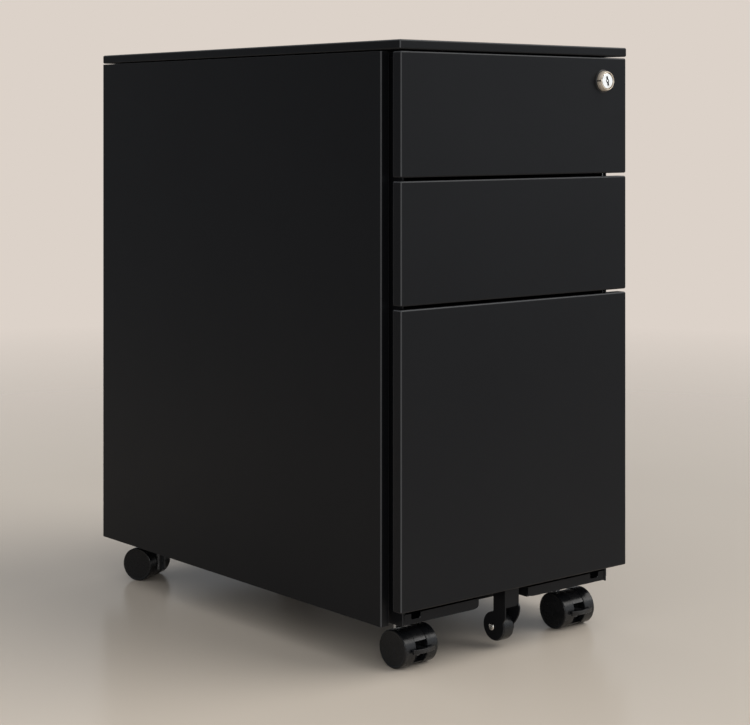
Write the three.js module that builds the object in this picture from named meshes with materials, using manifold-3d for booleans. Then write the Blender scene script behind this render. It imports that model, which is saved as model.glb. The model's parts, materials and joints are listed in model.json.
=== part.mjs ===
// Slim rolling pedestal cabinet: a black sheet-steel cabinet with two box drawers, one file drawer, a lock,
// four twin-wheel casters and an anti-tip wheel under the file drawer.
// Millimetres, +Z up, front towards -Y, origin on the floor under the centre of the bounding box.

import * as THREE from "three";
import { mergeVertices } from "three/addons/utils/BufferGeometryUtils.js";
import Module from "manifold-3d";

const wasm = await Module();
wasm.setup();

// Overall size
const WIDTH = 300;
const DEPTH = 500;
const HEIGHT = 576.5;
const LOCK_PROUD = 6;
const FRONT = (LOCK_PROUD - DEPTH) / 2;
const HALF = WIDTH / 2;

// Sheet metal
const SHEET = 1;
const GAP = 0.3;
// How far a cutting tool passes beyond the surface that it cuts.
const OVERSHOOT = 1;
const TOP_THICKNESS = 9;
const TOP_RETURN = 12;
const SEAM = 1;

// Body shell
const BODY_BOTTOM = 44.5;
const BODY_TOP = HEIGHT - TOP_THICKNESS - SEAM;
const SIDE_FRONT = 26.5;
const SIDE_RETURN = 10.5;
const SIDE_HEM = 9;
const SIDE_REAR_RETURN = 18;

// Uprights that carry the slides
const UPRIGHT_INSET = 15;
const UPRIGHT_FRONT = 14;
const UPRIGHT_HEM = 1.8;
const UPRIGHT_DEPTH = 46;
const UPRIGHT_TOP = 561.5;
const REAR_UPRIGHT_FRONT = 440;
const REAR_UPRIGHT_DEPTH = 35;

// Top rail behind the lock
const RAIL_FRONT = 38;
const RAIL_DEPTH = 18;
const RAIL_HEIGHT = 16;

// Base tray
const BASE_BOTTOM = 45.9;
const BASE_FRONT = 14.5;
const BASE_FRONT_HALF = 132.2;
const BASE_LIP_TOP = 55.2;
const BASE_FLANGE_TOP = 60.5;
const LIP_NOTCH = { tab: 8.1, width: 11.6, bottom: 49.8, corner: 1.8 };
const WHEEL_OPENING = { from: -39.5, to: 25.7, back: 38, corner: 9, cornerRise: 3.6 };

// Drawer fronts, from the top down
const FRONT_WIDTH = 298;
const FRONT_DEPTH = 12;
const FRONT_RETURN = 10;
const FRONT_TOP = 566;
const FRONT_GAP = 3;

// Drawer boxes and slides
const BOX_FRONT = FRONT_DEPTH + GAP;
const BOX_BACK = 462;
const SLIDE_THICKNESS = 12.4;
const BOX_HALF = HALF - UPRIGHT_INSET - SHEET - SLIDE_THICKNESS - GAP;
const SLIDE_FRONT = 31;
const SLIDE_LENGTH = 450;
const SLIDE_SHEET = 1.2;
const CATCH = { front: 18.6, reach: 7.7, height: 8 };
const DRAWERS = [
  { name: "top", height: 114, boxBottom: 460.5, boxHeight: 72, slide: 496.5, catchZ: 520.5 },
  { name: "middle", height: 112.5, boxBottom: 344.5, boxHeight: 72, slide: 380.5, catchZ: 404.5 },
  { name: "file", height: 272, boxBottom: 61.8, boxHeight: 180, slide: 148.5, catchZ: 172.5 },
];

// Telescopic slide members: distances are measured inwards from the upright
const SLIDE_MEMBERS = {
  outer: { web: 0.3, lip: 10.7, half: 22 },
  middle: { web: 3.4, lip: 10, half: 18.6 },
  inner: { web: SLIDE_THICKNESS, lip: 6, half: 14.4 },
};

// Lock
const LOCK = { x: 116, z: 542.9 };
const BARREL_HEAD_RADIUS = 10;
const BARREL_RADIUS = 9;
const BARREL_BORE = 8.2;
const BARREL_END = 15.2;
const PLUG_RADIUS = 7.9;
const PLUG_RECESS = 0.5;
const PLUG_TAIL_RADIUS = 3;
const BARREL_OVERLAP = 1;
const KEYWAY = { width: 1.7, height: 9.5, depth: 9, lean: 13 };
const NUT = { radius: 13, thickness: 3.5 };
const CAM = { radius: 14, halfWidth: 4, front: 17, thickness: 2, hubRadius: 5.5 };

// Locking bar: hooks above the drawer catches, and a tab under the cam's sweep
const BAR = { inset: 0.5, thickness: 2, front: 15.6, back: 27, top: 550, bottom: 166.5 };
const HOOK = { reach: 10, height: 8, thickness: 2, rise: 3 };
const BAR_TAB = { reach: 7.5, height: 9, back: 21 };

// Casters
const WHEEL_RADIUS = 17.8;
const WHEEL_FACE_RADIUS = 16.6;
const WHEEL_INNER = 7.3;
const WHEEL_OUTER = 21.2;
const TRAIL = 15;
const HOUSING_HALF = 7;
const HOUSING_RADIUS = 17.2;
const AXLE_RADIUS = 2;
const AXLE_HALF = 16;
const CASTER_INSET = 44.3;
const STEM_RADIUS = 4;
const STEM_BOTTOM = 14;
const STEM_TAIL = 3;
const STEM_COLLAR_RADIUS = 5.2;
const STEM_COLLAR_BOTTOM = 42.7;
const STEM_NUT_RADIUS = 8;
const STEM_NUT_HEIGHT = 6;
const NECK_RADIUS = 7;
const NECK_BOTTOM = 10.5;
const NECK_TOP = 28.8;
const CASTERS = [
  { name: "front_left", side: -1, depth: 54.7, turn: 3, brake: true },
  { name: "front_right", side: 1, depth: 54.7, turn: 0, brake: true },
  { name: "rear_left", side: -1, depth: 455, turn: 206, brake: false },
  { name: "rear_right", side: 1, depth: 455, turn: 190, brake: false },
];

// Brake pedal on the front casters
const PEDAL = { half: 13.6, bottom: 15.6, top: 19.8, thickness: 2.4, clearance: 0.8, bulge: 2.4 };
const PEDAL_ARM = { half: 4, inset: 0.7, reach: 9.5 };
const PEDAL_TONGUE = { half: 2.4, front: 12.4, back: 10.8, bottom: 10.5, top: 17.7 };
const PEDAL_POCKET = { bottom: 4.8, top: 25.4, depth: 11.2 };

// Anti-tip wheel under the file drawer
const FORK = {
  left: -8.6, right: 9.8, sheet: 1.5, front: 11, webBottom: 41.5, neckBack: 26.8,
  plateTop: 61.2, plateBack: 58, fillet: 3.5, lobeEnd: 436,
};
// The right cheek swells forward above a lobe that is smaller than the wheel.
const CHEEKS = {
  left: {
    swell: 0, shoulder: 31.5, fall: 1.75, lean: 0,
    lobeY: 26.9, lobeZ: 21.6, lobeRadius: 13.4, lobeStart: 164,
  },
  right: {
    swell: 2, shoulder: 37.8, fall: 5.3, lean: 3.4,
    lobeY: 29, lobeZ: 20.5, lobeRadius: 11.4, lobeStart: 172,
  },
};
const SWELL_TOP = 44;
const TIP_WHEEL = { y: 29, z: 20.5, radius: 14, bevel: 2 };
const TIP_AXLE = { radius: 2.2, head: 3.6, headThickness: 1.4 };

const ROUND = 20;
const FINE_ROUND = 32;
const CORNER_ROUND = 6;

function steel(color, roughness) {
  return new THREE.MeshStandardMaterial({ color, roughness, metalness: 0.25 });
}

const MATERIALS = {
  powderCoat: () => steel(0x1d1e20, 0.55),
  zinc: () => new THREE.MeshStandardMaterial({ color: 0xb4b6b8, roughness: 0.35, metalness: 1 }),
  chrome: () => new THREE.MeshStandardMaterial({ color: 0xd8d6d2, roughness: 0.15, metalness: 1 }),
  nylon: () => new THREE.MeshStandardMaterial({ color: 0x1a1b1c, roughness: 0.45, metalness: 0 }),
  tread: () => new THREE.MeshStandardMaterial({ color: 0x222427, roughness: 0.6, metalness: 0 }),
};

function toSolid(geometry) {
  const bare = geometry.clone();
  bare.deleteAttribute("normal");
  bare.deleteAttribute("uv");
  const merged = mergeVertices(bare);
  return new wasm.Manifold(
    new wasm.Mesh({
      numProp: 3,
      vertProperties: merged.attributes.position.array,
      triVerts: new Uint32Array(merged.index.array),
    }),
  );
}

function toGeometry(solid) {
  const { vertProperties, triVerts } = solid.getMesh();
  const geometry = new THREE.BufferGeometry();
  geometry.setAttribute("position", new THREE.BufferAttribute(vertProperties, 3));
  geometry.setIndex(new THREE.BufferAttribute(triVerts, 1));
  geometry.computeVertexNormals();
  return geometry;
}

function join(...pieces) {
  return toGeometry(pieces.map(toSolid).reduce((whole, piece) => whole.add(piece)));
}

function cut(base, ...tools) {
  return toGeometry(tools.map(toSolid).reduce((left, tool) => left.subtract(tool), toSolid(base)));
}

function block([x0, x1], [y0, y1], [z0, z1]) {
  const size = [x1 - x0, y1 - y0, z1 - z0].map(Math.abs);
  return new THREE.BoxGeometry(...size).translate((x0 + x1) / 2, (y0 + y1) / 2, (z0 + z1) / 2);
}

// An outline of [x, y] points, extruded upwards.
function prism(points, [bottom, top]) {
  const shape = new THREE.Shape(points.map(([x, y]) => new THREE.Vector2(x, y)));
  const body = new THREE.ExtrudeGeometry(shape, { depth: top - bottom, bevelEnabled: false });
  return body.translate(0, 0, bottom);
}

// An outline drawn in the Y-Z plane, extruded along X.
function slab(outline, [from, to]) {
  const settings = { depth: to - from, bevelEnabled: false, curveSegments: ROUND };
  const axes = new THREE.Matrix4().makeBasis(
    new THREE.Vector3(0, 1, 0),
    new THREE.Vector3(0, 0, 1),
    new THREE.Vector3(1, 0, 0),
  );
  return new THREE.ExtrudeGeometry(outline, settings).applyMatrix4(axes).translate(from, 0, 0);
}

// A cylinder along the given axis, from one end to the other.
function rod(radius, axis, from, to, [a, b], segments = ROUND) {
  const bar = new THREE.CylinderGeometry(radius, radius, to - from, segments);
  const middle = (from + to) / 2;
  if (axis === "x") return bar.rotateZ(Math.PI / 2).translate(middle, a, b);
  if (axis === "y") return bar.translate(a, middle, b);
  return bar.rotateX(Math.PI / 2).translate(a, b, middle);
}

// A solid of revolution about the X axis; the profile lists [radius, x] from axis to axis.
function turnedAboutX(profile, segments) {
  const points = profile.map(([radius, x]) => new THREE.Vector2(radius, x));
  return new THREE.LatheGeometry(points, segments).rotateZ(-Math.PI / 2);
}

// Distance behind the plane of the drawer fronts, as a Y coordinate.
function behind(distance) {
  return FRONT + distance;
}

const cabinet = new THREE.Group();

function add(parent, name, geometry, material) {
  const mesh = new THREE.Mesh(geometry, MATERIALS[material]());
  mesh.name = name;
  parent.add(mesh);
  return mesh;
}

function topPanel() {
  const bottom = HEIGHT - TOP_THICKNESS;
  const outer = block([-HALF, HALF], [behind(0), behind(DEPTH)], [bottom, HEIGHT]);
  const hollow = block(
    [-HALF + SHEET, HALF - SHEET],
    [behind(SHEET), behind(DEPTH - SHEET)],
    [bottom + SHEET, HEIGHT - SHEET],
  );
  const opening = block(
    [-HALF + TOP_RETURN, HALF - TOP_RETURN],
    [behind(TOP_RETURN), behind(DEPTH - TOP_RETURN)],
    [bottom - OVERSHOOT, bottom + SHEET + OVERSHOOT],
  );
  return cut(outer, hollow, opening);
}

function sidePanel(side) {
  const x = (inset) => side * (HALF - inset);
  const front = behind(SIDE_FRONT);
  const back = behind(DEPTH);
  const section = [
    [x(0), front],
    [x(SIDE_RETURN), front],
    [x(SIDE_RETURN), front + SIDE_HEM],
    [x(SIDE_RETURN - SHEET), front + SIDE_HEM],
    [x(SIDE_RETURN - SHEET), front + SHEET],
    [x(SHEET), front + SHEET],
    [x(SHEET), back - SHEET],
    [x(SIDE_REAR_RETURN), back - SHEET],
    [x(SIDE_REAR_RETURN), back],
    [x(0), back],
  ];
  return prism(section, [BODY_BOTTOM, BODY_TOP]);
}

function backPanel() {
  const back = behind(DEPTH) - SHEET - GAP;
  const half = HALF - SHEET - GAP;
  return block([-half, half], [back - SHEET, back], [BODY_BOTTOM + GAP, BODY_TOP - SHEET - GAP]);
}

function frontUpright(side) {
  const x = (inset) => side * (HALF - inset);
  const back = behind(UPRIGHT_FRONT + UPRIGHT_DEPTH);
  const full = [BODY_BOTTOM + GAP, UPRIGHT_TOP];
  return join(
    block([x(UPRIGHT_INSET), x(UPRIGHT_INSET + SHEET)], [behind(UPRIGHT_FRONT), back], full),
    block(
      [x(UPRIGHT_INSET), x(UPRIGHT_INSET + UPRIGHT_HEM)],
      [behind(UPRIGHT_FRONT), behind(UPRIGHT_FRONT + SHEET)],
      full,
    ),
    block([x(SHEET + GAP), x(UPRIGHT_INSET + SHEET)], [back - SHEET, back], full),
  );
}

function rearUpright(side) {
  const x = (inset) => side * (HALF - inset);
  const front = behind(REAR_UPRIGHT_FRONT);
  const back = behind(REAR_UPRIGHT_FRONT + REAR_UPRIGHT_DEPTH);
  const full = [BASE_BOTTOM + SHEET + GAP, UPRIGHT_TOP];
  const foot = [x(SHEET + GAP + SHEET + GAP), x(UPRIGHT_INSET + SHEET)];
  return join(
    block([x(UPRIGHT_INSET), x(UPRIGHT_INSET + SHEET)], [front, back], full),
    block(foot, [front, front + SHEET], full),
    block(foot, [back - SHEET, back], full),
  );
}

function topRail() {
  const half = HALF - UPRIGHT_INSET - SHEET - GAP;
  const across = [-half, half];
  const front = behind(RAIL_FRONT);
  const back = behind(RAIL_FRONT + RAIL_DEPTH);
  const bottom = BODY_TOP - RAIL_HEIGHT;
  return join(
    block(across, [front, front + SHEET], [bottom, BODY_TOP]),
    block(across, [front, back], [BODY_TOP - SHEET, BODY_TOP]),
    block(across, [front, back], [bottom, bottom + SHEET]),
  );
}

// An outline in the X-Z plane, cut through the base panel's front lip.
function lipCutter(outline) {
  const settings = { depth: SHEET + 2 * OVERSHOOT, bevelEnabled: false, curveSegments: CORNER_ROUND };
  const cutter = new THREE.ExtrudeGeometry(outline, settings);
  return cutter.rotateX(Math.PI / 2).translate(0, behind(BASE_FRONT + SHEET + OVERSHOOT), 0);
}

// The anti-tip wheel's opening, with flared lower corners.
function wheelOpeningCutter() {
  const { from, to, corner, cornerRise } = WHEEL_OPENING;
  const low = BASE_BOTTOM - OVERSHOOT;
  const high = BASE_LIP_TOP + OVERSHOOT;
  const outline = new THREE.Shape();
  outline.moveTo(from - corner, low);
  outline.lineTo(from - corner, BASE_BOTTOM);
  outline.quadraticCurveTo(from, BASE_BOTTOM, from, BASE_BOTTOM + cornerRise);
  outline.lineTo(from, high);
  outline.lineTo(to, high);
  outline.lineTo(to, BASE_BOTTOM + cornerRise);
  outline.quadraticCurveTo(to, BASE_BOTTOM, to + corner, BASE_BOTTOM);
  outline.lineTo(to + corner, low);
  return lipCutter(outline);
}

// A notch in the lip's top edge, with round lower corners.
function lipNotchCutter(side) {
  const { tab, width, bottom, corner } = LIP_NOTCH;
  const high = BASE_LIP_TOP + OVERSHOOT;
  const middle = side * (BASE_FRONT_HALF - tab - width / 2);
  const [from, to] = [middle - width / 2, middle + width / 2];
  const outline = new THREE.Shape();
  outline.moveTo(from, high);
  outline.lineTo(from, bottom + corner);
  outline.quadraticCurveTo(from, bottom, from + corner, bottom);
  outline.lineTo(to - corner, bottom);
  outline.quadraticCurveTo(to, bottom, to, bottom + corner);
  outline.lineTo(to, high);
  return lipCutter(outline);
}

function basePanel() {
  const half = HALF - SHEET - GAP;
  const wideFrom = UPRIGHT_FRONT + UPRIGHT_DEPTH + SHEET;
  const back = behind(DEPTH) - 2 * SHEET - 2 * GAP;
  const floor = [BASE_BOTTOM, BASE_BOTTOM + SHEET];
  const flange = [BASE_BOTTOM, BASE_FLANGE_TOP];
  const lip = [BASE_BOTTOM, BASE_LIP_TOP];
  const front = behind(BASE_FRONT);
  const { from, to, back: openingBack } = WHEEL_OPENING;
  const tray = join(
    block([-BASE_FRONT_HALF, BASE_FRONT_HALF], [front, behind(wideFrom + SHEET)], floor),
    block([-half, half], [behind(wideFrom), back], floor),
    block([-BASE_FRONT_HALF, BASE_FRONT_HALF], [front, front + SHEET], lip),
    block([-half, -half + SHEET], [behind(wideFrom), back], flange),
    block([half - SHEET, half], [behind(wideFrom), back], flange),
    block([-half, half], [back - SHEET, back], flange),
    block([from - SHEET, to + SHEET], [front, behind(openingBack + SHEET)], lip),
  );
  const wellHeight = [BASE_BOTTOM - OVERSHOOT, BASE_LIP_TOP + OVERSHOOT];
  const well = block([from, to], [front - OVERSHOOT, behind(openingBack)], wellHeight);
  const stemHoles = CASTERS.map(({ side, depth }) =>
    rod(STEM_RADIUS + GAP, "z", BASE_BOTTOM - OVERSHOOT, BASE_BOTTOM + SHEET + OVERSHOOT, [
      side * (HALF - CASTER_INSET),
      behind(depth),
    ]),
  );
  return cut(tray, well, wheelOpeningCutter(), lipNotchCutter(-1), lipNotchCutter(1), ...stemHoles);
}

function addBody() {
  add(cabinet, "top_panel", topPanel(), "powderCoat");
  add(cabinet, "back_panel", backPanel(), "powderCoat");
  add(cabinet, "base_panel", basePanel(), "powderCoat");
  add(cabinet, "top_rail", topRail(), "powderCoat");
  for (const [label, side] of [["left", -1], ["right", 1]]) {
    add(cabinet, `side_panel_${label}`, sidePanel(side), "powderCoat");
    add(cabinet, `front_upright_${label}`, frontUpright(side), "powderCoat");
    add(cabinet, `rear_upright_${label}`, rearUpright(side), "powderCoat");
  }
}

// A folded tray, open at the back, with returns along its four edges.
function drawerFront(bottom, height) {
  const half = FRONT_WIDTH / 2;
  const top = bottom + height;
  const outer = block([-half, half], [behind(0), behind(FRONT_DEPTH)], [bottom, top]);
  const hollow = block(
    [-half + SHEET, half - SHEET],
    [behind(SHEET), behind(FRONT_DEPTH - SHEET)],
    [bottom + SHEET, top - SHEET],
  );
  const opening = block(
    [-half + FRONT_RETURN, half - FRONT_RETURN],
    [behind(FRONT_DEPTH - SHEET - OVERSHOOT), behind(FRONT_DEPTH + OVERSHOOT)],
    [bottom + FRONT_RETURN, top - FRONT_RETURN],
  );
  return cut(outer, hollow, opening);
}

function lockHole() {
  const centre = [LOCK.x, LOCK.z];
  return rod(BARREL_RADIUS + GAP, "y", behind(-OVERSHOOT), behind(SHEET + OVERSHOOT), centre, FINE_ROUND);
}

// An open box with a tab on its right wall for the locking bar's hook to catch.
function drawerBox({ boxBottom, boxHeight, catchZ }) {
  const top = boxBottom + boxHeight;
  const outer = block([-BOX_HALF, BOX_HALF], [behind(BOX_FRONT), behind(BOX_BACK)], [boxBottom, top]);
  const hollow = block(
    [-BOX_HALF + SHEET, BOX_HALF - SHEET],
    [behind(BOX_FRONT + SHEET), behind(BOX_BACK - SHEET)],
    [boxBottom + SHEET, top + OVERSHOOT],
  );
  const tab = block(
    [BOX_HALF - SHEET, BOX_HALF + CATCH.reach],
    [behind(CATCH.front), behind(CATCH.front + SHEET)],
    [catchZ, catchZ + CATCH.height],
  );
  return join(cut(outer, hollow), tab);
}

// A C-shaped rolled member; it opens towards its lip.
function slideMember(kind, side, z) {
  const { web, lip, half } = SLIDE_MEMBERS[kind];
  const inwards = Math.sign(lip - web);
  const upright = HALF - UPRIGHT_INSET - SHEET;
  const x = (distance) => side * (upright - distance);
  const along = [behind(SLIDE_FRONT), behind(SLIDE_FRONT + SLIDE_LENGTH)];
  const flange = [x(web), x(lip)];
  return join(
    block([x(web), x(web + inwards * SLIDE_SHEET)], along, [z - half, z + half]),
    block(flange, along, [z + half - SLIDE_SHEET, z + half]),
    block(flange, along, [z - half, z - half + SLIDE_SHEET]),
  );
}

function addSlides({ name, slide }) {
  const kinds = name === "file" ? ["outer", "middle", "inner"] : ["outer", "inner"];
  for (const kind of kinds)
    for (const [label, side] of [["left", -1], ["right", 1]])
      add(cabinet, `slide_${kind}_${name}_${label}`, slideMember(kind, side, slide), "zinc");
}

function addDrawers() {
  let top = FRONT_TOP;
  for (const drawer of DRAWERS) {
    const bottom = top - drawer.height;
    const plain = drawerFront(bottom, drawer.height);
    const panel = drawer.name === "top" ? cut(plain, lockHole()) : plain;
    add(cabinet, `drawer_front_${drawer.name}`, panel, "powderCoat");
    add(cabinet, `drawer_box_${drawer.name}`, drawerBox(drawer), "powderCoat");
    addSlides(drawer);
    top = bottom - FRONT_GAP;
  }
}

function lockBarrel() {
  const centre = [LOCK.x, LOCK.z];
  const head = rod(BARREL_HEAD_RADIUS, "y", behind(-LOCK_PROUD), behind(-GAP), centre, FINE_ROUND);
  const body = rod(BARREL_RADIUS, "y", behind(-BARREL_OVERLAP), behind(BARREL_END), centre, FINE_ROUND);
  const bore = [behind(-LOCK_PROUD - OVERSHOOT), behind(BARREL_END + OVERSHOOT)];
  return cut(join(head, body), rod(BARREL_BORE, "y", ...bore, centre, FINE_ROUND));
}

function lockPlug() {
  const centre = [LOCK.x, LOCK.z];
  const face = behind(-LOCK_PROUD + PLUG_RECESS);
  const cylinder = rod(PLUG_RADIUS, "y", face, behind(BARREL_END), centre, FINE_ROUND);
  const tailEnds = [behind(BARREL_END - BARREL_OVERLAP), behind(CAM.front + CAM.thickness)];
  const tail = rod(PLUG_TAIL_RADIUS, "y", ...tailEnds, centre);
  const { width, height, depth, lean } = KEYWAY;
  const keyway = block([-width / 2, width / 2], [-OVERSHOOT, depth], [-height / 2, height / 2])
    .rotateY(-THREE.MathUtils.degToRad(lean))
    .translate(LOCK.x, face, LOCK.z);
  return cut(join(cylinder, tail), keyway);
}

function lockNut() {
  const centre = [LOCK.x, LOCK.z];
  const front = behind(SHEET + GAP);
  const hexagon = rod(NUT.radius, "y", front, front + NUT.thickness, centre, 6);
  const thread = [front - OVERSHOOT, front + NUT.thickness + OVERSHOOT];
  return cut(hexagon, rod(BARREL_RADIUS + GAP, "y", ...thread, centre, FINE_ROUND));
}

// A flat finger on the plug's tail, pointing up when unlocked.
function lockCam() {
  const { radius, halfWidth, front, thickness, hubRadius } = CAM;
  const from = behind(front);
  const to = behind(front + thickness);
  const hub = rod(hubRadius, "y", from, to, [LOCK.x, LOCK.z]);
  const finger = block([LOCK.x - halfWidth, LOCK.x + halfWidth], [from, to], [LOCK.z, LOCK.z + radius]);
  const hole = rod(PLUG_TAIL_RADIUS + GAP, "y", from - OVERSHOOT, to + OVERSHOOT, [LOCK.x, LOCK.z]);
  return cut(join(hub, finger), hole);
}

function lockingBar() {
  const outerX = HALF - UPRIGHT_INSET - SHEET - BAR.inset;
  const innerX = outerX - BAR.thickness;
  const spine = block([innerX, outerX], [behind(BAR.front), behind(BAR.back)], [BAR.bottom, BAR.top]);
  const pushTab = block(
    [innerX - BAR_TAB.reach + BAR.thickness, outerX],
    [behind(BAR.front), behind(BAR_TAB.back)],
    [BAR.top - BAR_TAB.height, BAR.top],
  );
  const hooks = DRAWERS.map(({ catchZ }) => {
    const bottom = catchZ + CATCH.height + HOOK.rise;
    return block(
      [outerX - HOOK.reach, outerX],
      [behind(BAR.front), behind(BAR.front + HOOK.thickness)],
      [bottom, bottom + HOOK.height],
    );
  });
  return join(spine, pushTab, ...hooks);
}

function addLock() {
  add(cabinet, "lock_barrel", lockBarrel(), "chrome");
  add(cabinet, "lock_plug", lockPlug(), "chrome");
  add(cabinet, "lock_nut", lockNut(), "zinc");
  add(cabinet, "lock_cam", lockCam(), "zinc");
  add(cabinet, "locking_bar", lockingBar(), "zinc");
}

// Caster pieces: the swivel axis is the local Z axis and the wheels trail towards -Y.

function casterStem() {
  const plateTop = BASE_BOTTOM + SHEET + GAP;
  return join(
    rod(STEM_RADIUS, "z", STEM_BOTTOM, plateTop + STEM_NUT_HEIGHT + STEM_TAIL, [0, 0]),
    rod(STEM_COLLAR_RADIUS, "z", STEM_COLLAR_BOTTOM, BASE_BOTTOM - GAP, [0, 0]),
    rod(STEM_NUT_RADIUS, "z", plateTop, plateTop + STEM_NUT_HEIGHT, [0, 0], 6),
  );
}

// A round hood between the wheels, with a neck around the foot of the stem.
function casterHousing(brake) {
  const hood = rod(HOUSING_RADIUS, "x", -HOUSING_HALF, HOUSING_HALF, [-TRAIL, WHEEL_RADIUS], FINE_ROUND);
  const neck = rod(NECK_RADIUS, "z", NECK_BOTTOM, NECK_TOP, [0, 0]);
  const stemBore = rod(STEM_RADIUS + GAP, "z", STEM_BOTTOM - GAP, HEIGHT, [0, 0]);
  const axleBore = rod(AXLE_RADIUS + GAP, "x", -AXLE_HALF, AXLE_HALF, [-TRAIL, WHEEL_RADIUS]);
  const body = cut(join(hood, neck), stemBore, axleBore);
  return brake ? cut(body, pedalPocket()) : body;
}

function pedalPocket() {
  const { bottom, top, depth } = PEDAL_POCKET;
  const half = HOUSING_HALF + OVERSHOOT;
  const front = -TRAIL - HOUSING_RADIUS;
  return block([-half, half], [front - OVERSHOOT, front + depth], [bottom, top]);
}

// Half of the twin wheel; side -1 is the left wheel seen from the front.
function casterWheel(side) {
  const bevel = WHEEL_RADIUS - WHEEL_FACE_RADIUS;
  const boreEnd = AXLE_HALF + GAP;
  const profile = [
    [0, boreEnd],
    [AXLE_RADIUS + GAP, boreEnd],
    [AXLE_RADIUS + GAP, WHEEL_INNER],
    [WHEEL_RADIUS, WHEEL_INNER],
    [WHEEL_RADIUS, WHEEL_OUTER - bevel],
    [WHEEL_FACE_RADIUS, WHEEL_OUTER],
    [0, WHEEL_OUTER],
  ];
  return turnedAboutX(profile, FINE_ROUND)
    .rotateY(side > 0 ? 0 : Math.PI)
    .translate(0, -TRAIL, WHEEL_RADIUS);
}

// A bar that bows away from the wheels, an arm that turns in the hood, and a tongue under the bar.
function brakePedal() {
  const { half, bottom, top, thickness, clearance, bulge } = PEDAL;
  const back = -TRAIL - WHEEL_RADIUS - clearance;
  const bow = new THREE.Shape();
  bow.moveTo(-half, back);
  bow.lineTo(-half, back - thickness);
  bow.quadraticCurveTo(0, back - thickness - 2 * bulge, half, back - thickness);
  bow.lineTo(half, back);
  bow.quadraticCurveTo(0, back - 2 * bulge, -half, back);
  const settings = { depth: top - bottom, bevelEnabled: false, curveSegments: ROUND };
  const bar = new THREE.ExtrudeGeometry(bow, settings).translate(0, 0, bottom);
  const arm = block(
    [-PEDAL_ARM.half, PEDAL_ARM.half],
    [back - bulge - thickness / 2, back + PEDAL_ARM.reach],
    [bottom + PEDAL_ARM.inset, top - PEDAL_ARM.inset],
  );
  const tongue = block(
    [-PEDAL_TONGUE.half, PEDAL_TONGUE.half],
    [-TRAIL - PEDAL_TONGUE.front, -TRAIL - PEDAL_TONGUE.back],
    [PEDAL_TONGUE.bottom, PEDAL_TONGUE.top],
  );
  return join(bar, arm, tongue);
}

function addCaster({ name, side, depth, turn, brake }) {
  const caster = new THREE.Group();
  caster.position.set(side * (HALF - CASTER_INSET), behind(depth), 0);
  caster.rotation.z = THREE.MathUtils.degToRad(turn);
  cabinet.add(caster);
  const axle = rod(AXLE_RADIUS, "x", -AXLE_HALF, AXLE_HALF, [-TRAIL, WHEEL_RADIUS]);
  add(caster, `caster_stem_${name}`, casterStem(), "zinc");
  add(caster, `caster_housing_${name}`, casterHousing(brake), "nylon");
  add(caster, `caster_axle_${name}`, axle, "zinc");
  add(caster, `caster_wheel_left_${name}`, casterWheel(-1), "tread");
  add(caster, `caster_wheel_right_${name}`, casterWheel(1), "tread");
  if (brake) add(caster, `brake_pedal_${name}`, brakePedal(), "nylon");
}

// One side of the fork: a neck that runs in curves into a round lobe around the axle.
function cheekOutline({ swell, shoulder, fall, lean, lobeY, lobeZ, lobeRadius, lobeStart }) {
  const { front, neckBack, plateTop, fillet, lobeEnd } = FORK;
  const [start, end] = [lobeStart, lobeEnd].map(THREE.MathUtils.degToRad);
  const edge = behind(front - swell);
  const startY = behind(lobeY) + lobeRadius * Math.cos(start);
  const startZ = lobeZ + lobeRadius * Math.sin(start);
  const lobeTop = lobeZ + lobeRadius;
  const outline = new THREE.Shape();
  outline.moveTo(behind(front), plateTop);
  outline.lineTo(behind(front), SWELL_TOP);
  outline.quadraticCurveTo(edge, (SWELL_TOP + shoulder) / 2, edge, shoulder);
  outline.bezierCurveTo(edge, shoulder - fall, startY - lean, startZ + fillet, startY, startZ);
  outline.absarc(behind(lobeY), lobeZ, lobeRadius, start, end, false);
  outline.quadraticCurveTo(behind(neckBack), lobeTop, behind(neckBack), lobeTop + fillet);
  outline.lineTo(behind(neckBack), plateTop);
  return outline;
}

// One folded bracket: a foot under the drawer box, a front web and two cheeks with round lower lobes.
function antiTipBracket() {
  const { left, right, sheet, front, webBottom, plateTop, plateBack } = FORK;
  const foot = block([left, right], [behind(front), behind(plateBack)], [plateTop - sheet, plateTop]);
  const web = block([left, right], [behind(front), behind(front + sheet)], [webBottom, plateTop]);
  const leftCheek = slab(cheekOutline(CHEEKS.left), [left, left + sheet]);
  const rightCheek = slab(cheekOutline(CHEEKS.right), [right - sheet, right]);
  const centre = [behind(TIP_WHEEL.y), TIP_WHEEL.z];
  const axleHole = rod(TIP_AXLE.radius + GAP, "x", left - OVERSHOOT, right + OVERSHOOT, centre);
  return cut(join(foot, web, leftCheek, rightCheek), axleHole);
}

function antiTipAxle() {
  const { radius, head, headThickness } = TIP_AXLE;
  const left = FORK.left - GAP;
  const right = FORK.right + GAP;
  const centre = [behind(TIP_WHEEL.y), TIP_WHEEL.z];
  return join(
    rod(radius, "x", left - headThickness / 2, right + headThickness / 2, centre),
    rod(head, "x", left - headThickness, left, centre),
    rod(head, "x", right, right + headThickness, centre),
  );
}

function antiTipWheel() {
  const { radius, bevel } = TIP_WHEEL;
  const bore = TIP_AXLE.radius + GAP;
  const left = FORK.left + FORK.sheet + GAP;
  const right = FORK.right - FORK.sheet - GAP;
  const profile = [
    [bore, left],
    [radius - bevel, left],
    [radius, left + bevel],
    [radius, right - bevel],
    [radius - bevel, right],
    [bore, right],
    [bore, left],
  ];
  return turnedAboutX(profile, FINE_ROUND).translate(0, behind(TIP_WHEEL.y), TIP_WHEEL.z);
}

function addAntiTipWheel() {
  add(cabinet, "anti_tip_bracket", antiTipBracket(), "powderCoat");
  add(cabinet, "anti_tip_axle", antiTipAxle(), "zinc");
  add(cabinet, "anti_tip_wheel", antiTipWheel(), "tread");
}

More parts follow.
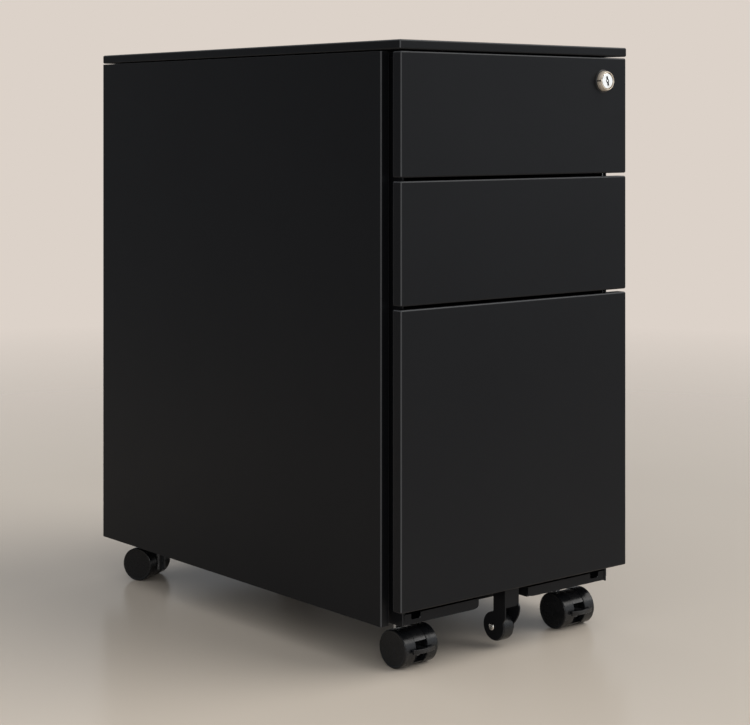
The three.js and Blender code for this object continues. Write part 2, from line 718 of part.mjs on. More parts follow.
addBody();
addDrawers();
addLock();
CASTERS.forEach(addCaster);
addAntiTipWheel();

export default cabinet;
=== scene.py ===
"""Looks of the slim rolling pedestal cabinet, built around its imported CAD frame.

Shapes are drawn in millimetres in the row frame and scaled to metres when they become objects.
"""

import json
import math

import bmesh
import bpy
from mathutils import Matrix, Vector

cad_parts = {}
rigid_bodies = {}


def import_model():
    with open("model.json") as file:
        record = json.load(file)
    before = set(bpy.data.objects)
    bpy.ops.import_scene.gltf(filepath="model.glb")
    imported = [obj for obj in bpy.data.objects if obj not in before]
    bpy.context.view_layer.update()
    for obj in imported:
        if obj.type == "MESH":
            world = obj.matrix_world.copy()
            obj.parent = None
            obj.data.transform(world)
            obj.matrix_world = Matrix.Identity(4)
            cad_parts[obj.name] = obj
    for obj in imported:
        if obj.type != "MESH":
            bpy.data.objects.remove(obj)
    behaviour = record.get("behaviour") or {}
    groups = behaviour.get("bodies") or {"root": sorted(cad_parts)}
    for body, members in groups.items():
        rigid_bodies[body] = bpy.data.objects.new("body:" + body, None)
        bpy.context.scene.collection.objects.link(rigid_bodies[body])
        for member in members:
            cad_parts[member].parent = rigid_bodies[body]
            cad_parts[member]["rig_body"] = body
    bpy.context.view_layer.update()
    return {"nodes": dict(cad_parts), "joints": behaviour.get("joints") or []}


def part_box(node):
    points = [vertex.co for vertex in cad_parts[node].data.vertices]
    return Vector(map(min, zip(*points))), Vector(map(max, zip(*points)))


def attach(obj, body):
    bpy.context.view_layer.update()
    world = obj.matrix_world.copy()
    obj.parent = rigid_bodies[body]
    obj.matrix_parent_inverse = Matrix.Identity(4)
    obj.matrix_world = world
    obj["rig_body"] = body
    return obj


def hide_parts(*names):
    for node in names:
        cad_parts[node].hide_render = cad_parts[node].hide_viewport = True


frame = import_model()

MM = 0.001
SHEET = 1.0
FOLD = 1.7  # outside radius of a fold in the sheet
GAP = 0.3  # clearance between two metal parts
DRAWERS = ("top", "middle", "file")
SIDES = ("left", "right")
CASTERS = ("front_left", "front_right", "rear_left", "rear_right")


# ---------------------------------------------------------------- mesh helpers


def span(node):
    """The lowest and highest corner of a CAD node, in millimetres."""
    low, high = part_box(node)
    return low / MM, high / MM


def joint(name):
    return next(j for j in frame["joints"] if j["name"] == name)


def to_object(name, bm):
    """A smooth-shaded object from a bmesh drawn in millimetres."""
    bmesh.ops.remove_doubles(bm, verts=bm.verts, dist=1e-4)
    bmesh.ops.recalc_face_normals(bm, faces=bm.faces)
    bmesh.ops.scale(bm, vec=(MM, MM, MM), verts=bm.verts)
    mesh = bpy.data.meshes.new(name)
    bm.to_mesh(mesh)
    bm.free()
    mesh.shade_smooth()
    obj = bpy.data.objects.new(name, mesh)
    bpy.context.scene.collection.objects.link(obj)
    return obj


def cubic(a, b, c, d, steps=12):
    """Points of a cubic Bezier curve from a to d."""
    points = []
    for i in range(steps + 1):
        t = i / steps
        weights = ((1 - t) ** 3, 3 * t * (1 - t) ** 2, 3 * t * t * (1 - t), t**3)
        points.append(tuple(sum(w * p[k] for w, p in zip(weights, (a, b, c, d))) for k in (0, 1)))
    return points


def thicken(obj, thickness=SHEET, offset=0.0):
    """Gives a sheet its thickness, to both sides of the drawn surface unless offset says otherwise."""
    solid = obj.modifiers.new("thickness", "SOLIDIFY")
    solid.thickness = thickness * MM
    solid.offset = offset
    solid.use_even_offset = True
    return obj


def soften(obj, width=0.2, segments=2, angle=40):
    """Rounds the sharp edges and shades the flats as flats."""
    bevel = obj.modifiers.new("edges", "BEVEL")
    bevel.width = width * MM
    bevel.segments = segments
    bevel.limit_method = "ANGLE"
    bevel.angle_limit = math.radians(angle)
    bevel.harden_normals = False
    bevel.miter_outer = "MITER_ARC"
    normals = obj.modifiers.new("flats", "WEIGHTED_NORMAL")
    normals.keep_sharp = False
    normals.weight = 80
    return obj


def settle(obj):
    """Applies an object's modifiers to its mesh."""
    graph = bpy.context.evaluated_depsgraph_get()
    mesh = bpy.data.meshes.new_from_object(obj.evaluated_get(graph))
    obj.modifiers.clear()
    obj.data = mesh
    return obj


def combine(obj, operation, *tools):
    """Joins or cuts obj with the tools, which are used up."""
    for tool in tools:
        boolean = obj.modifiers.new("boolean", "BOOLEAN")
        boolean.operation = operation
        boolean.solver = "EXACT"
        boolean.object = tool
    settle(obj)
    for tool in tools:
        bpy.data.objects.remove(tool)
    obj.data.shade_smooth()
    return obj


def rounded_path(points, radius, steps=5):
    """A 2-D path through the points with each inner corner turned into an arc."""
    path = [Vector(points[0])]
    for before, corner, after in zip(points, points[1:], points[2:]):
        corner = Vector(corner)
        back = (Vector(before) - corner).normalized()
        on = (Vector(after) - corner).normalized()
        half_angle = back.angle(on) / 2
        reach = radius / math.tan(half_angle)
        centre = corner + (back + on).normalized() * (radius / math.sin(half_angle))
        start = corner + back * reach - centre
        turn = math.pi - 2 * half_angle
        sign = -1 if back.x * on.y - back.y * on.x > 0 else 1
        for i in range(steps + 1):
            path.append(centre + Matrix.Rotation(sign * turn * i / steps, 2) @ start)
    path.append(Vector(points[-1]))
    return path


def arc(centre, radius, start, end, steps=8):
    """Points of a 2-D arc between two angles in degrees."""
    angles = [math.radians(start + (end - start) * i / steps) for i in range(steps + 1)]
    return [(centre[0] + radius * math.cos(a), centre[1] + radius * math.sin(a)) for a in angles]


def swept(path, low, high, place):
    """A sheet with the path as its cross-section; place(u, v, w) turns path and length into a 3-D point."""
    bm = bmesh.new()
    rows = [[bm.verts.new(place(u, v, w)) for u, v in path] for w in (low, high)]
    for i in range(len(path) - 1):
        bm.faces.new((rows[0][i], rows[0][i + 1], rows[1][i + 1], rows[1][i]))
    return bm


def prism(outline, low, high, place):
    """A closed solid with a 2-D outline and two flat ends."""
    bm = bmesh.new()
    ends = [[bm.verts.new(place(u, v, w)) for u, v in outline] for w in (low, high)]
    bm.faces.new(ends[0])
    bm.faces.new(ends[1])
    for i in range(len(outline)):
        j = (i + 1) % len(outline)
        bm.faces.new((ends[0][i], ends[0][j], ends[1][j], ends[1][i]))
    return bm


def along_z(u, v, w):
    return (u, v, w)


def along_y(u, v, w):
    return (u, w, v)


def along_x(u, v, w):
    return (w, u, v)


def cuboid(low, high):
    """A closed box between two corners."""
    outline = [(low[0], low[1]), (high[0], low[1]), (high[0], high[1]), (low[0], high[1])]
    return prism(outline, low[2], high[2], along_z)


def tray(low, high, opening, lip):
    """A folded box with one open side, edged by an inward lip. opening is (axis, direction)."""
    axis, direction = opening
    inset = Vector((SHEET, SHEET, SHEET)) / 2
    bm = cuboid(Vector(low) + inset, Vector(high) - inset)
    bmesh.ops.recalc_face_normals(bm, faces=bm.faces)
    mouth = next(f for f in bm.faces if f.normal[axis] * direction > 0.9)
    if lip:
        bmesh.ops.inset_individual(bm, faces=[mouth], thickness=lip)
    bmesh.ops.delete(bm, geom=[mouth], context="FACES")
    folds = [e for e in bm.edges if e.is_manifold and e.calc_face_angle() > 1]
    bmesh.ops.bevel(
        bm, geom=folds, offset=FOLD - SHEET / 2, segments=4, profile=0.5, affect="EDGES"
    )
    return bm


ON_AXIS = 1e-6  # a smaller radius counts as a point on the axis


def ring(bm, middle, side, up, radius, segments):
    """A circle of vertices, or one vertex repeated where the radius is nothing."""
    if radius < ON_AXIS:
        return [bm.verts.new(middle)] * segments
    angles = [2 * math.pi * i / segments for i in range(segments)]
    return [bm.verts.new(middle + radius * (side * math.cos(a) + up * math.sin(a))) for a in angles]


def bridge(bm, first, second):
    """Faces between two rings; a face with a repeated corner becomes a triangle."""
    for i in range(len(first)):
        j = (i + 1) % len(first)
        corners = list(dict.fromkeys((first[i], first[j], second[j], second[i])))
        if len(corners) > 2:
            bm.faces.new(corners)


def turned(profile, centre, axis, segments=96):
    """A solid of revolution. profile lists (radius, distance along axis); ends on the axis close it."""
    along = Vector(axis).normalized()
    side = along.orthogonal().normalized()
    up = along.cross(side)
    bm = bmesh.new()
    rings = []
    for radius, distance in profile:
        middle = Vector(centre) + along * distance
        rings.append(ring(bm, middle, side, up, radius, segments))
    following = rings[1:]
    if profile[0][0] > ON_AXIS:
        following = rings[1:] + rings[:1]
    for first, second in zip(rings, following):
        bridge(bm, first, second)
    return bm


def cylinder(radius, centre, axis, low, high, segments=64):
    return turned([(0, low), (radius, low), (radius, high), (0, high)], centre, axis, segments)


# ---------------------------------------------------------------- materials


def node_material(name):
    """An empty node material and a short way to add its nodes."""
    material = bpy.data.materials.new(name)
    material.use_nodes = True
    tree = material.node_tree
    shader = tree.nodes["Principled BSDF"]

    def add(kind, **values):
        node = tree.nodes.new(kind)
        for key, value in values.items():
            if key in node.inputs:
                node.inputs[key].default_value = value
            else:
                setattr(node, key, value)
        return node

    return material, tree, shader, add


def noise(add, tree, coordinates, scale, detail=2.0, roughness=0.5):
    node = add("ShaderNodeTexNoise")
    node.inputs["Scale"].default_value = scale
    node.inputs["Detail"].default_value = detail
    node.inputs["Roughness"].default_value = roughness
    tree.links.new(coordinates, node.inputs["Vector"])
    return node.outputs["Fac"]


def ranged(add, tree, value, low, high, from_low=0.3, from_high=0.7):
    """Maps a texture's middle range to low..high."""
    node = add("ShaderNodeMapRange")
    node.inputs["From Min"].default_value = from_low
    node.inputs["From Max"].default_value = from_high
    node.inputs["To Min"].default_value = low
    node.inputs["To Max"].default_value = high
    tree.links.new(value, node.inputs["Value"])
    return node.outputs["Result"]


def mixed(add, tree, factor, low, high):
    """A colour between two, by factor."""
    node = add("ShaderNodeMix", data_type="RGBA")
    tree.links.new(factor, node.inputs["Factor"])
    node.inputs["A"].default_value = (*low, 1)
    if isinstance(high, tuple):
        node.inputs["B"].default_value = (*high, 1)
    else:
        tree.links.new(high, node.inputs["B"])
    return node.outputs["Result"]


def bumped(add, tree, shader, height, strength, distance, below=None):
    node = add("ShaderNodeBump")
    node.inputs["Strength"].default_value = strength
    node.inputs["Distance"].default_value = distance
    tree.links.new(height, node.inputs["Height"])
    if below:
        tree.links.new(below, node.inputs["Normal"])
    tree.links.new(node.outputs["Normal"], shader.inputs["Normal"])
    return node.outputs["Normal"]


def object_coordinates(add):
    return add("ShaderNodeTexCoord").outputs["Object"]


def painted_edge_highlight(add, tree):
    """Mask of a painted highlight: 0 on flats, rising to 1 on outer edges."""
    pointiness = add("ShaderNodeNewGeometry").outputs["Pointiness"]
    return ranged(add, tree, pointiness, 0, 1, 0.52, 0.62)


def painted_fold_highlight(add, tree):
    """Mask of the painted highlight: 0 on flats, which all face along an axis, and on undersides; 1 on
    other folds and softened edges.
    """
    normal = add("ShaderNodeTexCoord").outputs["Normal"]
    turned_away = add("ShaderNodeVectorMath", operation="ABSOLUTE")
    tree.links.new(normal, turned_away.inputs[0])
    parts = add("ShaderNodeSeparateXYZ")
    tree.links.new(turned_away.outputs["Vector"], parts.inputs["Vector"])
    largest = parts.outputs["X"]
    for axis in ("Y", "Z"):
        both = add("ShaderNodeMath", operation="MAXIMUM")
        tree.links.new(largest, both.inputs[0])
        tree.links.new(parts.outputs[axis], both.inputs[1])
        largest = both.outputs["Value"]
    slopes = ranged(add, tree, largest, 1, 0, 0.86, 0.99)
    signed = add("ShaderNodeSeparateXYZ")
    tree.links.new(normal, signed.inputs["Vector"])
    not_under = ranged(add, tree, signed.outputs["Z"], 0, 1, -0.4, -0.1)
    highlighted_folds = add("ShaderNodeMath", operation="MULTIPLY")
    tree.links.new(slopes, highlighted_folds.inputs[0])
    tree.links.new(not_under, highlighted_folds.inputs[1])
    return highlighted_folds.outputs["Value"]


def powder_coat(name, edge):
    """Satin black powder coat: orange-peel grain, faint mottling, and a painted highlight colour on folds
    and softened edges that do not face down.
    """
    material, tree, shader, add = node_material(name)
    place = object_coordinates(add)
    mottling = ranged(add, tree, noise(add, tree, place, 9, 3), 0, 1)
    base = mixed(add, tree, mottling, (0.0061, 0.0065, 0.0078), (0.0068, 0.0072, 0.0085))
    # Painted highlight: folds and softened edges take the edge colour.
    colour = add("ShaderNodeMix", data_type="RGBA")
    tree.links.new(painted_fold_highlight(add, tree), colour.inputs["Factor"])
    tree.links.new(base, colour.inputs["A"])
    colour.inputs["B"].default_value = (*edge, 1)
    tree.links.new(colour.outputs["Result"], shader.inputs["Base Color"])
    cloud = ranged(add, tree, noise(add, tree, place, 30, 3), 0.365, 0.395)
    tree.links.new(cloud, shader.inputs["Roughness"])
    shader.inputs["Specular IOR Level"].default_value = 0.12
    peel = noise(add, tree, place, 900, 2, 0.6)
    grain = noise(add, tree, place, 3200, 1)
    below = bumped(add, tree, shader, peel, 0.14, 0.0004)
    bumped(add, tree, shader, grain, 0.1, 0.0001, below)
    return material


def zinc_plate():
    """Bright zinc plate: fine rolling lines along the part and soft cloudy spangle."""
    material, tree, shader, add = node_material("zinc_plate")
    place = object_coordinates(add)
    stretch = add("ShaderNodeMapping")
    stretch.inputs["Scale"].default_value = (1, 0.02, 1)
    tree.links.new(place, stretch.inputs["Vector"])
    spangle = ranged(add, tree, noise(add, tree, place, 60, 4), 0, 1)
    colour = mixed(add, tree, spangle, (0.42, 0.43, 0.44), (0.6, 0.6, 0.6))
    tree.links.new(colour, shader.inputs["Base Color"])
    shader.inputs["Metallic"].default_value = 1.0
    lines = noise(add, tree, stretch.outputs["Vector"], 1800, 2)
    tree.links.new(ranged(add, tree, lines, 0.2, 0.34), shader.inputs["Roughness"])
    bumped(add, tree, shader, lines, 0.12, 0.0001)
    return material


def nickel(name, low, high, metallic, roughness):
    """Nickel-plated die casting with hairline scratches and a warm tint that varies from place to place;
    made near black, it is also the painted shade in grooves.
    """
    material, tree, shader, add = node_material(name)
    place = object_coordinates(add)
    stretch = add("ShaderNodeMapping")
    stretch.inputs["Scale"].default_value = (1, 1, 0.08)
    stretch.inputs["Rotation"].default_value = (0, 0.5, 0)
    tree.links.new(place, stretch.inputs["Vector"])
    tint = ranged(add, tree, noise(add, tree, place, 130, 2), 0, 1)
    tree.links.new(mixed(add, tree, tint, low, high), shader.inputs["Base Color"])
    shader.inputs["Metallic"].default_value = metallic
    scratches = noise(add, tree, stretch.outputs["Vector"], 2600, 3)
    tree.links.new(ranged(add, tree, scratches, *roughness), shader.inputs["Roughness"])
    bumped(add, tree, shader, scratches, 0.05, 0.00005)
    return material


def moulded_nylon(name, base, roughness, scale, gloss_level):
    """Moulded plastic: fine spark-eroded grain, uneven gloss and outer edges lightened as a painted
    highlight.
    """
    material, tree, shader, add = node_material(name)
    place = object_coordinates(add)
    patches = ranged(add, tree, noise(add, tree, place, 45, 3), 0, 1)
    dark = tuple(0.82 * c for c in base)
    low = mixed(add, tree, patches, dark, base)
    # Outer edges are lightened to 2.4 times the base colour as a painted highlight.
    colour = add("ShaderNodeMix", data_type="RGBA")
    tree.links.new(painted_edge_highlight(add, tree), colour.inputs["Factor"])
    tree.links.new(low, colour.inputs["A"])
    colour.inputs["B"].default_value = (*(2.4 * c for c in base), 1)
    tree.links.new(colour.outputs["Result"], shader.inputs["Base Color"])
    shader.inputs["Specular IOR Level"].default_value = gloss_level
    gloss = noise(add, tree, place, 150, 3)
    tree.links.new(ranged(add, tree, gloss, roughness - 0.07, roughness + 0.07), shader.inputs["Roughness"])
    bumped(add, tree, shader, noise(add, tree, place, scale, 2), 0.14, 0.0002)
    return material


def rolled_tread():
    """Hard nylon of the wheels, rolled to a dull shine."""
    return moulded_nylon("rolled_tread", (0.0062, 0.0068, 0.0080), 0.26, 1500, 0.26)


MATERIALS = {
    # The colour given to each coat is the painted highlight on its folds and edges.
    "powder_coat": powder_coat("powder_coat", (0.07, 0.073, 0.078)),
    # A brighter painted highlight on folds and edges, for the base panel's rims.
    "rim_highlight_coat": powder_coat("rim_highlight_coat", (0.2, 0.205, 0.215)),
    "zinc": zinc_plate(),
    "chrome": nickel("polished_nickel", (0.7, 0.67, 0.62), (0.83, 0.82, 0.8), 1.0, (0.08, 0.24)),
    "satin_nickel": nickel("satin_nickel", (0.7, 0.61, 0.5), (0.82, 0.74, 0.63), 0.5, (0.24, 0.36)),
    # Near-black nickel, the painted shade inside the lock's notch and keyway.
    "painted_groove_shade": nickel("near_black_groove_shade", (0.004, 0.004, 0.004), (0.008, 0.007, 0.006), 0.3, (0.5, 0.6)),
    "nylon": moulded_nylon("moulded_nylon", (0.0075, 0.0079, 0.0090), 0.3, 1300, 0.4),
    "caster_tread": rolled_tread(),
}


def body_of(node):
    return frame["nodes"][node]["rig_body"]


def finish_as(obj, node, slot, replaces=True, paint=None):
    """Paints a new piece and lets it stand for its CAD node."""
    obj.data.materials.clear()
    obj.data.materials.append(MATERIALS[paint or slot])
    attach(obj, body_of(node))
    if replaces:
        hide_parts(node)
    return obj


# ---------------------------------------------------------------- sheet metal


def top_panel():
    low, high = span("top_panel")
    obj = to_object("top_panel_sheet", tray(low, high, (2, -1), 12))
    finish_as(soften(thicken(obj)), "top_panel", "powder_coat")


def drawer_front(name):
    node = f"drawer_front_{name}"
    low, high = span(node)
    obj = settle(thicken(to_object(f"{node}_sheet", tray(low, high, (1, 1), 9))))
    if name == "top":
        centre = Vector(joint("lock_turn")["pos_m"]) / MM
        hole = to_object("lock_hole", cylinder(9.3, centre, (0, 1, 0), -3, 4))
        combine(obj, "DIFFERENCE", hole)
    finish_as(soften(obj), node, "powder_coat")


# The locking bar's catch on the right wall of each drawer box
CATCH_BEHIND_FRONT = 6.3
CATCH_HEIGHT = 8.0
CATCH_RISE = {"top": 60.0, "middle": 60.0, "file": 110.7}


def drawer_box(name):
    node = f"drawer_box_{name}"
    low, high = span(node)
    wall = -low.x
    obj = to_object(f"{node}_sheet", tray(low, (wall, high.y, high.z), (2, 1), 0))
    settle(thicken(obj))
    catch_y = low.y + CATCH_BEHIND_FRONT
    catch_z = low.z + CATCH_RISE[name]
    catch = cuboid((wall - SHEET / 2, catch_y, catch_z), (high.x, catch_y + SHEET, catch_z + CATCH_HEIGHT))
    combine(obj, "UNION", to_object("catch", catch))
    finish_as(soften(obj), node, "powder_coat")


def side_panel(side):
    node = f"side_panel_{side}"
    low, high = span(node)
    out = 1 if side == "right" else -1
    face = high.x if out > 0 else low.x
    half = SHEET / 2

    def x(inset):
        return face - out * inset

    section = [
        (x(10), low.y + 9),
        (x(10), low.y + half),
        (x(half), low.y + half),
        (x(half), high.y - half),
        (x(18), high.y - half),
    ]
    path = rounded_path(section, FOLD - half)
    obj = to_object(f"{node}_sheet", swept(path, low.z, high.z, along_z))
    finish_as(soften(thicken(obj)), node, "powder_coat")


def slide_member(node):
    """A rolled C section; its open side faces its partner."""
    low, high = span(node)
    gauge = 1.2
    half = gauge / 2
    inner = "inner" in node
    right = node.endswith("right")
    web, lip = (high.x, low.x) if right != inner else (low.x, high.x)
    inwards = 1 if lip > web else -1
    section = [
        (lip, low.z + half),
        (web + inwards * half, low.z + half),
        (web + inwards * half, high.z - half),
        (lip, high.z - half),
    ]
    obj = to_object(f"{node}_rolled", swept(rounded_path(section, 2.2), low.y, high.y, along_y))
    finish_as(soften(thicken(obj, gauge), 0.15), node, "zinc")


def carried_over(node, slot, width, paint=None):
    """A CAD node kept as it is, with merged flats, softened edges and its material."""
    obj = frame["nodes"][node]
    obj.data.materials.clear()
    obj.data.materials.append(MATERIALS[paint or slot])
    weld = obj.modifiers.new("weld", "WELD")
    weld.merge_threshold = 1e-6
    flats = obj.modifiers.new("merge_flats", "DECIMATE")
    flats.decimate_type = "DISSOLVE"
    flats.angle_limit = math.radians(1)
    soften(obj, width)
    for polygon in obj.data.polygons:
        polygon.use_smooth = True


def sheet_metal():
    top_panel()
    for name in DRAWERS:
        drawer_front(name)
        drawer_box(name)
    for side in SIDES:
        side_panel(side)
        carried_over(f"front_upright_{side}", "powder_coat", 0.3)
        carried_over(f"rear_upright_{side}", "powder_coat", 0.3)
    carried_over("back_panel", "powder_coat", 0.4)
    carried_over("top_rail", "powder_coat", 0.4)
    # The base panel's rims carry a brighter painted highlight.
    carried_over("base_panel", "powder_coat", 0.45, "rim_highlight_coat")
    for node in frame["nodes"]:
        if node.startswith("slide_"):
            slide_member(node)


# ---------------------------------------------------------------- lock


def lock_axis():
    return Vector(joint("lock_turn")["pos_m"]) / MM


def painted_groove_shade(obj, faces):
    """Paints shade on the chosen faces, which lie deep in a groove, with a near-black material."""
    obj.data.materials.append(MATERIALS["painted_groove_shade"])
    for index in faces:
        obj.data.polygons[index].material_index = 1


NOTCH_HALF = 0.6
NOTCH_RADIUS = 9.0
KEYWAY_REACH = 5.2
KEYWAY_LEAN = -13  # degrees about Y: the top leans to the left
KEYWAY_POST_FRONT = 0.3
KEYWAY_DEPTH = 8.0
TOUCH = 0.01  # tolerance when faces are picked by place


def notch_walls(barrel, centre):
    """Indices of the faces inside the barrel's locating notch."""
    walls = []
    for polygon in barrel.data.polygons:
        offset = polygon.center / MM - centre
        if offset.x < TOUCH - NOTCH_RADIUS and abs(offset.z) < NOTCH_HALF + TOUCH:
            walls.append(polygon.index)
    return walls


def keyway_walls(plug, centre, face):
    """Indices of the faces inside the keyway, behind the post's front."""
    nearest = face + 2 * KEYWAY_POST_FRONT
    deepest = face + KEYWAY_DEPTH + TOUCH
    walls = []
    for polygon in plug.data.polygons:
        middle = polygon.center / MM
        across = math.hypot(middle.x - centre.x, middle.z - centre.z)
        if across < KEYWAY_REACH and nearest < middle.y < deepest:
            walls.append(polygon.index)
    return walls


def lock_barrel():
    """Round head with a sloping flank and a locating notch, on a body that runs through the front."""
    low, high = span("lock_barrel")
    centre = lock_axis()
    front, back = low.y - centre.y, high.y - centre.y
    profile = [
        (8.2, back),
        (8.2, front + 0.9),
        (8.35, front + 0.35),
        (8.6, front),
        (8.8, front + 0.05),
        (9.1, front + 0.4),
        *arc((8.4, front + 3.4), 1.6, -20, 0, 3),
        (10.0, -0.3),
        (9.0, -0.3),
        (9.0, back),
    ]
    obj = to_object("lock_barrel_cast", turned(profile, centre, (0, 1, 0)))
    notch = cuboid(
        (centre.x - 11, low.y - 1, centre.z - NOTCH_HALF),
        (centre.x - NOTCH_RADIUS, low.y + 4, centre.z + NOTCH_HALF),
    )
    combine(obj, "DIFFERENCE", to_object("notch", notch))
    walls = notch_walls(obj, centre)
    finish_as(soften(obj, 0.12), "lock_barrel", "chrome", paint="satin_nickel")
    # Painted shade on the notch walls.
    painted_groove_shade(obj, walls)


def lock_plug():
    """Turning plug with its keyway: a slot widened around a bright centre post, leaning to the left."""
    low, high = span("lock_plug")
    centre = lock_axis()
    front, back = low.y - centre.y, high.y - centre.y
    profile = [
        (0, front),
        (6.9, front),
        (7.5, front + 0.25),
        (7.9, front + 0.8),
        (7.9, 15.2),
        (3, 15.2),
        (3, back),
        (0, back),
    ]
    obj = to_object("lock_plug_cast", turned(profile, centre, (0, 1, 0)))
    face = centre.y + front
    lean = Matrix.Rotation(math.radians(KEYWAY_LEAN), 4, "Y")
    post_front, bottom = face + KEYWAY_POST_FRONT, face + KEYWAY_DEPTH
    shapes = {
        "slot": cuboid((-1.15, face - 1, -4.7), (1.15, bottom, 4.7)),
        "waist": cylinder(2.1, (0, 0, 0), (0, 1, 0), face - 1, face + 6, 32),
        "post": cylinder(1.15, (0.45, 0, 0), (0, 1, 0), post_front, bottom, 32),
    }
    tools = {}
    for name, bm in shapes.items():
        tools[name] = to_object(name, bm)
        tools[name].data.transform(Matrix.Translation((centre.x * MM, 0, centre.z * MM)) @ lean)
    combine(obj, "DIFFERENCE", tools["slot"], tools["waist"])
    combine(obj, "UNION", tools["post"])
    walls = keyway_walls(obj, centre, face)
    finish_as(soften(obj, 0.1), "lock_plug", "chrome")
    # Painted shade on the keyway walls behind the post's front.
    painted_groove_shade(obj, walls)


def lock_bezel():
    """Thin black ring between the lock's head and the drawer front."""
    centre = lock_axis()
    profile = [(10.05, -0.05), (10.05, -0.9), (10.5, -1.1), (11.1, -0.8), (11.5, -0.05)]
    obj = to_object("lock_bezel_ring", turned(profile, centre, (0, 1, 0)))
    finish_as(soften(obj, 0.1), "lock_barrel", "nylon", replaces=False)


def lock_nut():
    low, high = span("lock_nut")
    centre = lock_axis()
    corners = arc((centre.x, centre.z), (high.z - low.z) / 2, 90, 390, 5)
    obj = to_object("lock_nut_hexagon", prism(corners, low.y, high.y, along_y))
    thread = to_object("thread", cylinder(9.1, centre, (0, 1, 0), 0, 8))
    combine(obj, "DIFFERENCE", thread)
    finish_as(soften(obj, 0.4, 3), "lock_nut", "zinc")


def lock():
    lock_barrel()
    lock_plug()
    lock_bezel()
    lock_nut()
    carried_over("lock_cam", "zinc", 0.3)
    carried_over("locking_bar", "zinc", 0.3)


# ---------------------------------------------------------------- casters


class CasterPlace:
    """Turns a caster's own axes (swivel axis Z, wheels trailing towards -Y) into the row frame."""

    def __init__(self, name):
        swivel = Vector(joint(f"caster_swivel_{name}")["pos_m"]) / MM
        roll = joint(f"wheel_roll_left_{name}")
        across = Vector(roll["axis"])
        self.stem = Vector((swivel.x, swivel.y, 0))
        self.axle = Vector(roll["pos_m"]) / MM
        self.turn = Matrix.Rotation(math.atan2(across.y, across.x), 4, "Z")

    def move(self, obj):
        obj.data.transform(Matrix.Translation(self.stem * MM) @ self.turn)
        return obj


TRAIL = 15.0
WHEEL_RADIUS = 17.8
WHEEL_INNER = 7.3
WHEEL_OUTER = 21.2
HOUSING_HALF = 7.0
HOUSING_RADIUS = 17.2
STEM_RADIUS = 4.0
STEM_BOTTOM = 14.0
STEM_NUT_RADIUS = 8.0
STEM_NUT_HEIGHT = 6.0
COLLAR_RADIUS = 5.2
COLLAR_HEIGHT = 3.2
NECK = (10.5, 28.8)  # bottom and top of the hood's neck
MOUTH = {"bottom": 4.8, "top": 25.4, "back": 6.0}  # the pedal's pocket; back is measured from the axle
AXLE_RADIUS = 2.0
AXLE_END = 16.0
PEDAL = {"half": 13.6, "bottom": 15.6, "top": 19.8, "thickness": 2.4, "bulge": 2.4}
PEDAL_CLEARANCE = 0.8


def caster_wheel(side):
    """Half of the twin wheel: flat face, rounded shoulder, and a dished inner side around the hub."""
    out = 1 if side == "right" else -1
    radius, inner, outer = WHEEL_RADIUS, WHEEL_INNER, WHEEL_OUTER
    bore = AXLE_RADIUS + GAP
    crown = 1.5
    profile = [
        (0, AXLE_END + GAP),
        (bore, AXLE_END + GAP),
        (bore, inner),
        (5.2, inner),
        (5.8, inner + 2.2),
        (12.6, inner + 2.6),
        (13.4, inner),
        (radius - 0.8, inner),
        (radius - 0.2, inner + 0.25),
        (radius, inner + 0.9),
        *reversed(arc((radius - crown, outer - crown), crown, 80, 0, 8)[:-1]),
        (radius - crown - 0.4, outer - 0.1),
        (radius - crown - 0.8, outer - 0.45),
        (radius - crown - 1.4, outer - 0.5),
        (0, outer - 0.5),
    ]
    return turned(profile, (0, -TRAIL, radius), (out, 0, 0), 128)


def caster_housing(braked):
    """Round hood between the wheels with a neck around the stem and, if braked, a mouth for the pedal."""
    half = HOUSING_HALF
    centre = (0, -TRAIL, WHEEL_RADIUS)
    hood = to_object("hood", cylinder(HOUSING_RADIUS, centre, (1, 0, 0), -half, half, 128))
    neck = to_object("neck", cylinder(half, (0, 0, 0), (0, 0, 1), *NECK))
    combine(hood, "UNION", neck)
    cuts = [
        to_object("stem_bore", cylinder(STEM_RADIUS + GAP, (0, 0, 0), (0, 0, 1), STEM_BOTTOM - GAP, 46)),
        to_object("axle_bore", cylinder(AXLE_RADIUS + GAP, centre, (1, 0, 0), -9, 9)),
    ]
    if braked:
        front, back = -TRAIL - 25, -TRAIL - MOUTH["back"]
        cuts.append(to_object("mouth", cuboid((-9, front, MOUTH["bottom"]), (9, back, MOUTH["top"]))))
    return combine(hood, "DIFFERENCE", *cuts)


def brake_pedal():
    """A bar that bows away from the wheels, on an arm with a tongue below it."""
    half, bottom, top, thickness, bulge = PEDAL.values()
    back = -TRAIL - WHEEL_RADIUS - PEDAL_CLEARANCE
    turns = [i / 12 for i in range(-12, 13)]
    bow = [(half * t, back - bulge * (1 - t * t)) for t in turns]
    outline = bow + [(x, y - thickness) for x, y in reversed(bow)]
    bar = to_object("bar", prism(outline, bottom, top, along_z))
    arm = to_object("arm", cuboid((-4, back - bulge - thickness / 2, 16.3), (4, back + 9.5, 19.1)))
    tongue = to_object("tongue", cuboid((-2.4, -TRAIL - 12.4, 10.5), (2.4, -TRAIL - 10.8, 17.7)))
    return combine(bar, "UNION", arm, tongue)


